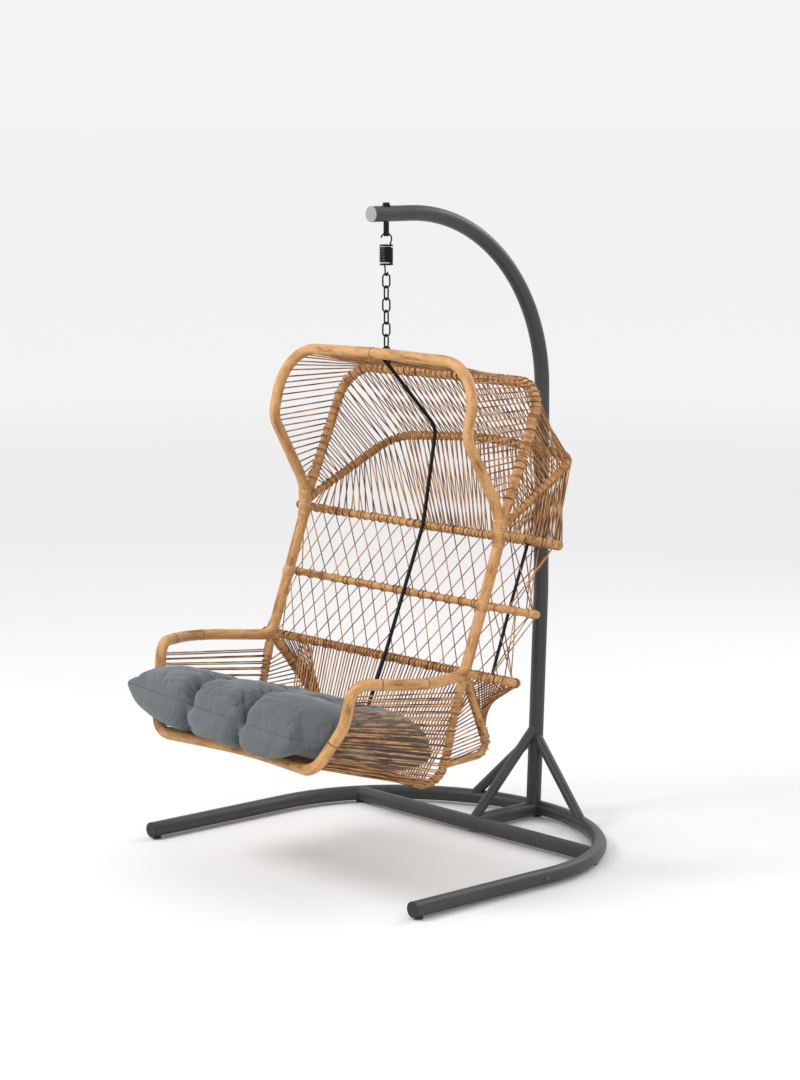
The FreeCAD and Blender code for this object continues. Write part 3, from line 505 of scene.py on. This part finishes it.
GRIP_START, GRIP_LEAVE = -70.0, 150.0  # degrees round a tube, 0 being the side away from the panel
TUCKED = 14.0  # degrees that stay in sight where a strand tucks under flat wicker
MIDDLES = 3


def tube_end(station, radius, towards, side, thick):
    """A strand's grip: wound round a rib, or tucked under the flat wicker of the thicker outer rim."""
    if radius > HOOD_R:
        return around(station, radius - thick * 0.9, towards, side, GRIP_LEAVE - TUCKED, GRIP_LEAVE, 2)
    return around(station, radius + thick * 0.7, towards, side, GRIP_START, GRIP_LEAVE, 6)


def strand(a, a_radius, b, b_radius, thick, side):
    """One strand from tube to tube, with its grip round both."""
    line = b[0] - a[0]
    start = tube_end(a, a_radius, line, side, thick)
    end = tube_end(b, b_radius, -line, side, thick)[::-1]
    middle = [start[-1].lerp(end[0], k / (MIDDLES + 1)) for k in range(1, MIDDLES + 1)]
    return start + middle + end


def add_strand(points, thick, data, sides=6):
    """Sweep one strand's points into the panel's mesh."""
    rows = []
    distance = [0.0]
    for i, point in enumerate(points):
        before = points[max(i - 1, 0)]
        after = points[min(i + 1, len(points) - 1)]
        rows.append((point, (after - before).normalized()))
        if i:
            distance.append(distance[-1] + (point - points[i - 1]).length)
    tag = random.uniform(0, 50)
    shift = random.uniform(0, 5)
    sweep(rows, lambda i, t: thick, sides, lambda i, t: (shift + distance[i], tag + t * 0.003), *data)


def jitter(amount):
    """A small random shift either way."""
    return random.uniform(-amount, amount)


class Skewed:
    """A path whose shares are moved, as pairs of (share asked, share given)."""

    def __init__(self, path, pairs):
        self.path, self.pairs = path, pairs

    def share(self, share):
        for (a, given_a), (b, given_b) in zip(self.pairs, self.pairs[1:]):
            if share <= b:
                return self.path.share(given_a + (given_b - given_a) * (share - a) / (b - a))
        return self.path.share(self.pairs[-1][1])


def woven_panel(name, node, first, last, count, thick, pattern, uneven=0.13):
    """Strands between two rails, each rail given as (path, tube radius, first share, last share).

    pattern lists (offset on the first rail, offset on the last, side), in spacings.
    """
    a_path, a_radius, a_low, a_high = first
    b_path, b_radius, b_low, b_high = last
    data = ([], [], [])
    for k in range(count):
        for a_step, b_step, side in pattern:
            a_share = (k + a_step + jitter(uneven)) / (count - 1)
            b_share = (k + b_step + jitter(uneven)) / (count - 1)
            if not (-0.001 <= a_share <= 1.001 and -0.001 <= b_share <= 1.001):
                continue
            a = a_path.share(a_low + (a_high - a_low) * a_share)
            b = b_path.share(b_low + (b_high - b_low) * b_share)
            add_strand(strand(a, a_radius, b, b_radius, thick, side), thick, data)
    make_piece(name, *data, STRAND, "chair", "weave", [node])


ROUND, THIN, LATTICE = 2.3 * MM, 2.0 * MM, 1.8 * MM  # strand radii
PAIRED = [(0, 0.5, 1), (0, -0.5, -1)]  # two strands from one place, leaning apart


class Stretch:
    """Part of a path, used as a path of its own."""

    def __init__(self, path, first, last):
        self.path, self.first, self.last = path, first, last

    def share(self, share):
        return self.path.at(self.first + (self.last - self.first) * share)


def nearest(path, point, steps=400):
    """The distance along a path that comes closest to a point."""
    return min((path.length * k / steps for k in range(steps + 1)), key=lambda s: (path.at(s)[0] - point).length)


def build_hood():
    """Three panels from the rim back over the hood and down to the neck rib."""
    low = nearest(rim_path, mm(-444, 21, 1050))
    rim_line = Stretch(rim_path, low, rim_path.length - low)
    woven_panel("hood_front_weave", "weave_hood_front", (rim_line, RIM_R, 0.04, 0.96),
                (hood_path, HOOD_R, 0.06, 0.94), 76, ROUND, [(0, 0, 1)])
    woven_panel("hood_middle_weave", "weave_hood_middle", (hood_path, HOOD_R, 0.05, 0.95),
                (rear_path, RIB_R, 0.05, 0.95), 66, THIN, PAIRED)
    low_line = Skewed(neck_path, [(0.0, 0.03), (0.03, 0.13), (0.25, 0.475), (0.5, 0.668), (0.62, 0.785),
                                  (0.75, 0.865), (1.0, 0.985)])
    woven_panel("hood_rear_weave", "weave_hood_rear", (rear_path, RIB_R, 0.015, 0.97),
                (low_line, RIB_R, 0.0, 1.0), 72, THIN, PAIRED)


def build_lattice():
    """The open back: strands that cross between the neck, waist and seat ribs."""
    for name, node, top, low in (("back_upper_weave", "weave_back_upper", neck_path, waist_path),
                                 ("back_lower_weave", "weave_back_lower", waist_path, seat_path)):
        woven_panel(name, node, (top, RIB_R, 0.02, 0.98), (low, RIB_R, 0.02, 0.98), 25, LATTICE,
                    [(0.16, 2.1, 1), (-0.16, -2.1, -1)], 0.05)


def line_path(a, b):
    """A straight path between two places in millimetres."""
    return Path([(mm(*a), 0), (mm(*b), 0)])


def build_seat():
    """The seat's back and floor, then each side's arm panel, gusset and wing."""
    top = line_path((-408, -13, 616), (408, -13, 616))
    beam = line_path((-318, -173, 298), (318, -173, 298))
    woven_panel("seat_back_weave", "weave_seat_back", (top, RIB_R, 0, 1), (beam, RIB_R, 0, 1), 60, ROUND,
                [(0, 0, 1)])
    rail = across(corners_mm((318, -622.5, 411.5, 0)), RAIL_MIDDLE, 900)
    beam = line_path((-296, -173, 297.5), (296, -173, 297.5))
    woven_panel("seat_floor_weave", "weave_seat_floor", (rail, RIM_R, 0, 1), (beam, RIB_R, 0, 1), 44, ROUND,
                [(0, 0, -1)])
    for side, sign in (("left", -1), ("right", 1)):
        stile = Path(side_of(corners_mm((*ARM_NOSE, 0), (*STILE_KNEE, 120), (*FRONT_CORNER, 75),
                                        (*RAIL_MIDDLE, 0)), sign))
        rib = Path(side_of(SIDE_RIB, sign) + [(mm(*SEAT_BEAM), 0)])
        brace = Path(side_of(BRACE, sign))
        seat = Path(side_of(SEAT_RIB, sign) + [(mm(*SEAT_RIB_MIDDLE), 0)])
        woven_panel("arm_weave_" + side, "weave_arm_" + side, (stile, RIM_R, 0.05, 0.54),
                    (rib, RIB_R, 0.07, 0.6), 20, ROUND, [(0, 0, sign), (0.3, 0.3, sign)])
        woven_panel("gusset_weave_" + side, "weave_gusset_" + side, (rib, RIB_R, 0.10, 0.37),
                    (brace, RIB_R, 0.10, 0.62), 17, ROUND, [(0, 0, -sign)])
        woven_panel("wing_weave_" + side, "weave_wing_" + side, (seat, RIB_R, 0.06, 0.48),
                    (brace, RIB_R, 0.08, 0.57), 26, ROUND, [(0, 0, sign)])


random.seed(23)
build_hood()
build_lattice()
build_seat()


# ---------------------------------------------------------------- joint wraps and seams
SEAM_HALF = 0.9 * MM
END_SEAM = 2.0 * MM


def build_joint_wraps():
    """Extra wicker where tubes meet, and the dark rings where two lengths of wrapped tube come together."""
    random.seed(31)
    data = ([], [], [])
    for sign in (-1, 1):
        pinch = nearest(rim_path, mm(sign * 444, 29, 1050))
        add_wrap(rim_path, RIM_R, data, pinch - 0.045, pinch + 0.045, 18, 3.2 * MM, 0.006)
        elbow = nearest(side_path, mm(sign * 442, -128, 600))
        add_wrap(side_path, RIB_R, data, elbow - 0.02, elbow + 0.03, 16, 3.0 * MM, 0.005)
        middle = nearest(rim_path, mm(sign * 443, -39, 838))
        add_wrap(rim_path, RIM_R, data, middle - 0.016, middle + 0.016, 18, 2.0 * MM, 0.004)
        brace = Path(side_of(BRACE, sign))
        add_wrap(brace, RIB_R, data, 0.03, 0.06, 16, 2.4 * MM, 0.004)
    make_piece("joint_wraps", *data, WRAP, "chair", "wrapped_tube")
    rings = ([], [], [])
    places = [(rim_path, rim_path.length / 2 - 0.03)]
    places += [(path, s) for path in (rim_path, front_path) for s in (END_SEAM, path.length - END_SEAM)]
    places += [(rim_path, nearest(rim_path, mm(x, -340, 656))) for x in (545, -545)]
    for path, s in places:
        rows = [path.at(s - SEAM_HALF), path.at(s + SEAM_HALF)]
        sweep(rows, lambda i, t: RIM_R + 0.5 * MM, 20, lambda i, t: (t, 0.0), *rings)
    make_piece("tube_seams", *rings, SEAM, "chair", "wrapped_tube")


build_joint_wraps()


def build_spring():
    """The coils as a piece of their own, copied from the CAD coils."""
    coils = bpy.data.objects.new("spring_coil_wire", frame["nodes"]["spring_coils"].data.copy())
    bpy.context.collection.objects.link(coils)
    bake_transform(coils)
    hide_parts("spring_coils")


build_spring()


# ---------------------------------------------------------------- cushion
BACK_BOTTOM = mm(0, -190, 317)
FORWARD = V((0.0, -0.961, 0.2763))
UPWARD = V((0.0, 0.2763, 0.961))
CORNERS = {"back_left": (-384, 20, 78), "back_right": (384, 20, 78),
           "front_left": (-452, 534, 98), "front_right": (306, 516, 50)}
CREASES = (-0.19, 0.40)
TUFTS = [(crease, row) for crease in CREASES for row in (-0.42, 0.12, 0.62)]
FRONT_TUFTS = [(CREASES[0] + 0.03, 0.93), (CREASES[1] - 0.02, 0.95), (0.93, 0.99)]
GRID_A, GRID_B = 128, 92
EDGE_POWER, EDGE_ROUND = 7.0, 0.46
HALF_WIDTH, HALF_LENGTH, FRONT_WALL = 0.38, 0.26, 0.09
SWELL_CAP = 12 * MM
SWELL_FRAMES = 20
SEAM_SINK = 0.0018


def pillow(a, b, front_power=EDGE_POWER):
    """Height share of the pad: full in the middle and drawn to the seam at its edges, more gently at the left."""
    left = max(0.0, -a)
    across_share = 1 - abs(a) ** (EDGE_POWER - 2.8 * (a < 0))
    along_share = 1 - abs(b) ** (front_power - (front_power - 5.0) * left)
    return (across_share * along_share) ** EDGE_ROUND


def channel_place(index, b):
    """Where a sewn channel lies across the pad; it wanders a little."""
    return CREASES[index] + 0.022 * math.sin(5.0 * b + index * 2.6)


def groove(a, b):
    """How far sewn channels and tufts pull the cover in, from 0 to 1."""
    depth = 0.0
    front = max(b, 0.0)
    for index in range(2):
        gap = abs(a - channel_place(index, b))
        wide = (0.26 + 0.22 * front ** 2) * math.exp(-(gap / 0.075) ** 2)
        tight = (0.10 + 0.16 * front) * math.exp(-(gap / 0.022) ** 2)
        depth = max(depth, wide + tight)
    cross = 0.10 + 0.03 * math.sin(4.0 * a)
    depth = max(depth, 0.24 * math.exp(-((b - cross) / 0.06) ** 2))
    for ta, tb in TUFTS:
        depth = max(depth, 0.62 * math.exp(-(((a - ta) / 0.06) ** 2 + ((b - tb) / 0.08) ** 2)))
    return depth


def tuck(angle, sharpness=0.30):
    """A fold's profile: broad and round, with a narrow valley."""
    return -math.exp(-(math.sin(angle / 2) / sharpness) ** 2)


def wall_share(b):
    """How much of the pad's height is left towards its front or back edge."""
    return (1 - abs(b) ** EDGE_POWER) ** EDGE_ROUND


def unrolled(b, top):
    """How far a point lies towards the front, measured over the cover: down the front wall and back underneath."""
    down = HALF_LENGTH * b + FRONT_WALL * (1 - wall_share(b)) * (1 if b > 0 else -1)
    if top or b < 0:
        return down
    return HALF_LENGTH + FRONT_WALL + 0.08 * wall_share(b) + HALF_LENGTH * (1 - b)


def gathers(a, b, top):
    """Folds that fan out from the tufts and lean away from the channels, in metres."""
    total = 0.0
    q = unrolled(b, top)
    for index, (ta, tb) in enumerate(TUFTS + FRONT_TUFTS):
        x, y = (a - ta) * HALF_WIDTH, q - unrolled(tb, True)
        reach = math.hypot(x, y)
        turn = math.atan2(y, x)
        fade = math.exp(-reach / 0.070) * min(1.0, reach / 0.018)
        wobble = 0.8 * math.sin(2 * turn + index) + 9.0 * reach
        deep = 0.0060 if index == len(TUFTS) + 2 else 0.0115
        total += deep * fade * tuck((5 + index % 2) * turn + 1.7 * index + wobble, 0.36)
    for index in range(2):
        gap = (a - channel_place(index, b)) * HALF_WIDTH
        fade = math.exp(-abs(gap) / 0.065) * min(1.0, abs(gap) / 0.008) * (0.2 + 0.8 * max(b, 0.0))
        slant = (34.0 if gap > 0 else -30.0) * abs(gap)
        lean = q * 78.0 + slant + index * 2.6 + 1.5 * math.sin(q * 27.0 + index)
        total += 0.0105 * fade * tuck(lean, 0.42)
    spot = V((a * 3.1, b * 2.4, 4.0))
    return total + 0.005 * (noise.noise(spot) + 0.5 * noise.noise(spot * 2.3))


def cushion_point(a, b, top):
    """A point of the pad before the simulation."""
    u, v = (a + 1) / 2, (b + 1) / 2
    rows = []
    for k in range(3):
        back = CORNERS["back_left"][k] * (1 - u) + CORNERS["back_right"][k] * u
        front = CORNERS["front_left"][k] * (1 - u) + CORNERS["front_right"][k] * u
        rows.append(back * (1 - v) + front * v)
    x, s, seam = rows
    bulge = 1 - a * a
    front = max(b, 0.0)
    elbow = (a > 0) * 46 * a ** 3 * max(0.0, 1 - ((b - 0.35) / 0.5) ** 2)
    x += a * (1 - b * b) * (26 if a > 0 else 4) + elbow
    shift = 0.0 if top else 0.05
    notch = sum(math.exp(-abs(a + shift - channel_place(k, b)) / 0.05) for k in range(2))
    s += front ** 2 * (20 * bulge - 46 * notch)
    s -= max(-b, 0.0) ** 2 * 10 * bulge
    dip = groove(a, b)
    full = 172 + 6 * front + 12 * max(-b, 0.0) - 9 * a * front
    share = pillow(a, b)
    if top:
        h = seam + (full - seam) * share * (1 - dip)
    else:
        droop = (40 + 40 * max(a, 0.0)) * max(0.0, (b - 0.74) / 0.26)
        share = pillow(a, b, 12.0)
        h = seam - (seam - 3 + droop) * share * (1 - 0.4 * dip * front ** 2)
    return BACK_BOTTOM + V((x, 0, 0)) * MM + FORWARD * (s * MM) + UPWARD * (h * MM)


def spread(count, k):
    """Grid places packed closer at the pad's edges, where it turns over."""
    t = 2 * k / count - 1
    return 0.55 * t + 0.45 * math.sin(t * math.pi / 2)


def on_edge(i, j, grid_a, grid_b):
    """Whether a grid point is on the seam, where top and underside share it."""
    return i in (0, grid_a) or j in (0, grid_b)


def pad_mesh(name, grid_a, grid_b, place):
    """A closed pad from place(i, j, top), and where each grid point went."""
    vertices, faces, index = [], [], {}

    def vertex(i, j, top):
        key = (i, j, top or on_edge(i, j, grid_a, grid_b))
        if key not in index:
            index[key] = len(vertices)
            vertices.append(tuple(place(i, j, key[2])))
        return index[key]

    for top in (True, False):
        for i in range(grid_a):
            for j in range(grid_b):
                ring = [vertex(i + di, j + dj, top) for di, dj in ((0, 0), (1, 0), (1, 1), (0, 1))]
                faces.append(tuple(ring[::-1] if top else ring))
    mesh = bpy.data.meshes.new(name)
    mesh.from_pydata(vertices, [], faces)
    mesh.update()
    return mesh, index


def swell(mesh, held):
    """Blow the cover up a little with a cloth simulation, and keep each point's move under SWELL_CAP."""
    piece = bpy.data.objects.new("swelling_pad", mesh)
    bpy.context.collection.objects.link(piece)
    group = piece.vertex_groups.new(name="held")
    for vertex, weight in held.items():
        group.add([vertex], weight, "REPLACE")
    cloth = piece.modifiers.new("cloth", "CLOTH")
    cloth.settings.quality = 5
    cloth.settings.mass = 0.2
    cloth.settings.tension_stiffness = 18
    cloth.settings.compression_stiffness = 6
    cloth.settings.bending_stiffness = 0.4
    cloth.settings.use_pressure = True
    cloth.settings.uniform_pressure_force = 4.0
    cloth.settings.shrink_min = -0.035
    cloth.settings.vertex_group_mass = "held"
    cloth.settings.effector_weights.gravity = 0.0
    cloth.point_cache.frame_start = 1
    cloth.point_cache.frame_end = SWELL_FRAMES
    scene = bpy.context.scene
    scene.frame_start, scene.frame_end = 1, SWELL_FRAMES
    for frame_number in range(1, SWELL_FRAMES + 1):
        scene.frame_set(frame_number)
    shaped = piece.evaluated_get(bpy.context.evaluated_depsgraph_get())
    moved = [v.co.copy() for v in shaped.data.vertices]
    bpy.data.objects.remove(piece)
    scene.frame_set(1)
    for vertex, after in zip(mesh.vertices, moved):
        step = after - vertex.co
        if step.length > SWELL_CAP:
            step = step.normalized() * SWELL_CAP
        vertex.co = vertex.co + step


def between(points, count_a, count_b):
    """Points at twice the grid, smooth through the given ones: points[(i, j)] to {(2i, 2j)}."""
    def middle(line, k, last):
        a, b = line(k), line(k + 1)
        if 0 < k < last - 1:
            return (a + b) * 0.5625 - (line(k - 1) + line(k + 2)) * 0.0625
        return (a + b) * 0.5
    fine = {(2 * i, 2 * j): p for (i, j), p in points.items()}
    for j in range(count_b + 1):
        for i in range(count_a):
            fine[(2 * i + 1, 2 * j)] = middle(lambda k: points[(k, j)], i, count_a)
    for i in range(2 * count_a + 1):
        for j in range(count_b):
            fine[(i, 2 * j + 1)] = middle(lambda k: fine[(i, 2 * k)], j, count_b)
    return fine


def hold_of(i, j, top):
    """How firmly the stitching and the seat hold a point of the cover, from 0 to 1."""
    a, b = spread(GRID_A, i), spread(GRID_B, j)
    hold = min(1.0, 1.3 * groove(a, b)) if top else 0.55
    if any(math.hypot((a - ta) / 0.05, (b - tb) / 0.07) < 1.0 for ta, tb in TUFTS):
        hold = 1.0
    return max(hold, 0.85) if on_edge(i, j, GRID_A, GRID_B) else hold


def build_cushion():
    """The cushion: a pad swollen by the simulation, refined, then given its gathers and its seam line."""
    def first_place(i, j, top):
        return cushion_point(spread(GRID_A, i), spread(GRID_B, j), top)

    mesh, index = pad_mesh("pad_before_folds", GRID_A, GRID_B, first_place)
    holds = {k: hold_of(*key) for key, k in index.items()}
    swell(mesh, {k: hold for k, hold in holds.items() if hold > 0.05})
    sides = {}
    for top in (True, False):
        grid = {(i, j): mesh.vertices[index[(i, j, top or on_edge(i, j, GRID_A, GRID_B))]].co.copy()
                for i in range(GRID_A + 1) for j in range(GRID_B + 1)}
        sides[top] = between(grid, GRID_A, GRID_B)
    fine_a, fine_b = 2 * GRID_A, 2 * GRID_B
    cover, index = pad_mesh("seat_cushion_cover", fine_a, fine_b, lambda i, j, top: sides[top][(i, j)])
    moves = {}
    for (i, j, top), k in index.items():
        a, b = spread(fine_a, i), spread(fine_b, j)
        edge = min(1.0, 9 * (1 - abs(a))) * min(1.0, 9 * (1 - abs(b)))
        share = 1.0 if top or b > 0.6 else 0.15
        moves[k] = cover.vertices[k].normal * (gathers(a, b, top) * share - (SEAM_SINK if edge == 0 else 0.0))
    for k, move in moves.items():
        cover.vertices[k].co += move
    loop = [(i, 0) for i in range(fine_a)] + [(fine_a, j) for j in range(fine_b)]
    loop += [(i, fine_b) for i in range(fine_a, 0, -1)] + [(0, j) for j in range(fine_b, 0, -1)]
    line = [cover.vertices[index[(i, j, True)]].co.copy() for i, j in loop]
    cover.polygons.foreach_set("use_smooth", [True] * len(cover.polygons))
    cover.materials.append(CLOTH)
    piece = bpy.data.objects.new("seat_cushion_cover", cover)
    bpy.context.collection.objects.link(piece)
    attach(piece, "chair")
    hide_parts("seat_cushion")
    line = line[::2] + [line[0]]
    last = len(line) - 1
    rows = [(point, (line[1 if k == last else k + 1] - line[-2 if k == 0 else k - 1]).normalized())
            for k, point in enumerate(line)]
    data = ([], [], [])
    sweep(rows, lambda i, t: 0.9 * MM, 6, lambda i, t: (i * 0.006, t), *data, closed_ends=False)
    make_piece("cushion_seam_line", *data, THREAD, "chair", "cushion")


build_cushion()


# ---------------------------------------------------------------- floor and light
def floor_with_painted_shade():
    """A pale floor with painted shade: a little deeper in tone near the chair, where the lamps reach it."""
    n = Nodes("studio_floor")
    place = n.add("ShaderNodeTexCoord")
    reach = n.add("ShaderNodeVectorMath", operation="LENGTH")
    n.link(place, "Object", reach, "Vector")
    share = n.math("DIVIDE", (reach, "Value"), 16.0)
    # Painted shade: darker floor colour near the chair, paler far off.
    shade = n.ramp(share, 0, [(0.12, (0.80, 0.80, 0.80)), (0.9, (0.985, 0.985, 0.985))])
    n.link(shade, "Color", n.shader, "Base Color")
    n.set(Roughness=1.0, Specular_IOR_Level=0.0)
    bpy.ops.mesh.primitive_plane_add(size=600.0, location=(0, 0, -0.0005))
    floor = bpy.context.object
    floor.name = "studio_floor"
    floor.data.materials.append(n.material)


def soft_light(name, place, target, size, power):
    """A round area lamp turned towards a target."""
    data = bpy.data.lights.new(name, "AREA")
    data.shape = "DISK"
    data.size = size
    data.energy = power
    light = bpy.data.objects.new(name, data)
    light.location = place
    light.rotation_euler = (V(target) - V(place)).to_track_quat("-Z", "Y").to_euler()
    bpy.context.collection.objects.link(light)


def studio():
    """White surroundings with three soft lamps."""
    floor_with_painted_shade()
    world = bpy.data.worlds.new("studio")
    bpy.context.scene.world = world
    world.use_nodes = True
    world.node_tree.nodes["Background"].inputs["Color"].default_value = (1.0, 1.0, 1.0, 1.0)
    world.node_tree.nodes["Background"].inputs["Strength"].default_value = 0.90
    soft_light("key", (-1.6, -3.6, 4.4), (0, 0, 0.9), 1.8, 150)
    soft_light("fill", (4.2, -1.6, 2.6), (0, 0, 0.9), 2.6, 30)
    soft_light("rim", (0.5, 4.0, 3.6), (0, 0, 1.0), 2.4, 50)
    bpy.context.scene.view_settings.view_transform = "Standard"


studio()


# ---------------------------------------------------------------- last update
def write_sizes():
    """Brings the view layer up to date."""
    bpy.context.view_layer.update()


write_sizes()
